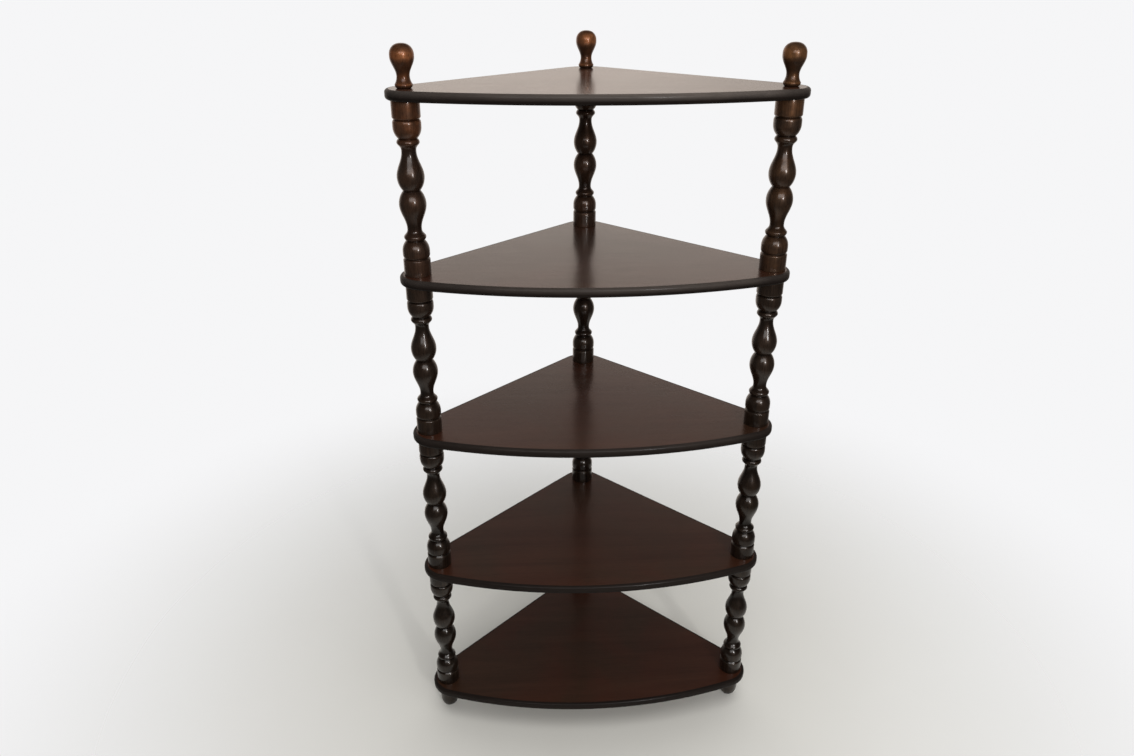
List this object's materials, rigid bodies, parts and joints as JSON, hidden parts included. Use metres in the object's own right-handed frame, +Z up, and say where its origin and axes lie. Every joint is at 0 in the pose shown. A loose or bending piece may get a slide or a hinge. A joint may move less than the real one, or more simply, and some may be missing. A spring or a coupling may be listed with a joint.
{
  "type": "corner shelf unit",
  "caption": "Quarter-round corner shelf unit in dark stained wood, with shelves clamped between turned spindles, ball finials above and bun feet below.",
  "frame": {"origin": "On the floor, under the middle of the unit's bounding box.", "axes": "+Z up, -Y towards the curved front, +Y towards the room corner that the back post stands in, +X to the right seen from the front."},
  "size_m": [0.613, 0.3942, 1.2232],
  "materials": {
    "shelf_board": "satin",
    "turned_wood": "gloss",
    "stud_steel": "satin"
  },
  "bodies": {
    "root": {"shelf_1": "shelf_board", "shelf_2": "shelf_board", "shelf_3": "shelf_board", "shelf_4": "shelf_board", "shelf_5": "shelf_board", "left_foot": "turned_wood", "left_stud_1": "stud_steel", "left_stud_2": "stud_steel", "left_stud_3": "stud_steel", "left_stud_4": "stud_steel", "left_stud_5": "stud_steel", "left_spindle_1": "turned_wood", "left_spindle_2": "turned_wood", "left_spindle_3": "turned_wood", "left_spindle_4": "turned_wood", "left_finial": "turned_wood", "right_foot": "turned_wood", "right_stud_1": "stud_steel", "right_stud_2": "stud_steel", "right_stud_3": "stud_steel", "right_stud_4": "stud_steel", "right_stud_5": "stud_steel", "right_spindle_1": "turned_wood", "right_spindle_2": "turned_wood", "right_spindle_3": "turned_wood", "right_spindle_4": "turned_wood", "right_finial": "turned_wood", "back_foot": "turned_wood", "back_stud_1": "stud_steel", "back_stud_2": "stud_steel", "back_stud_3": "stud_steel", "back_stud_4": "stud_steel", "back_stud_5": "stud_steel", "back_spindle_1": "turned_wood", "back_spindle_2": "turned_wood", "back_spindle_3": "turned_wood", "back_spindle_4": "turned_wood", "back_finial": "turned_wood"}
  },
  "joints": []
}
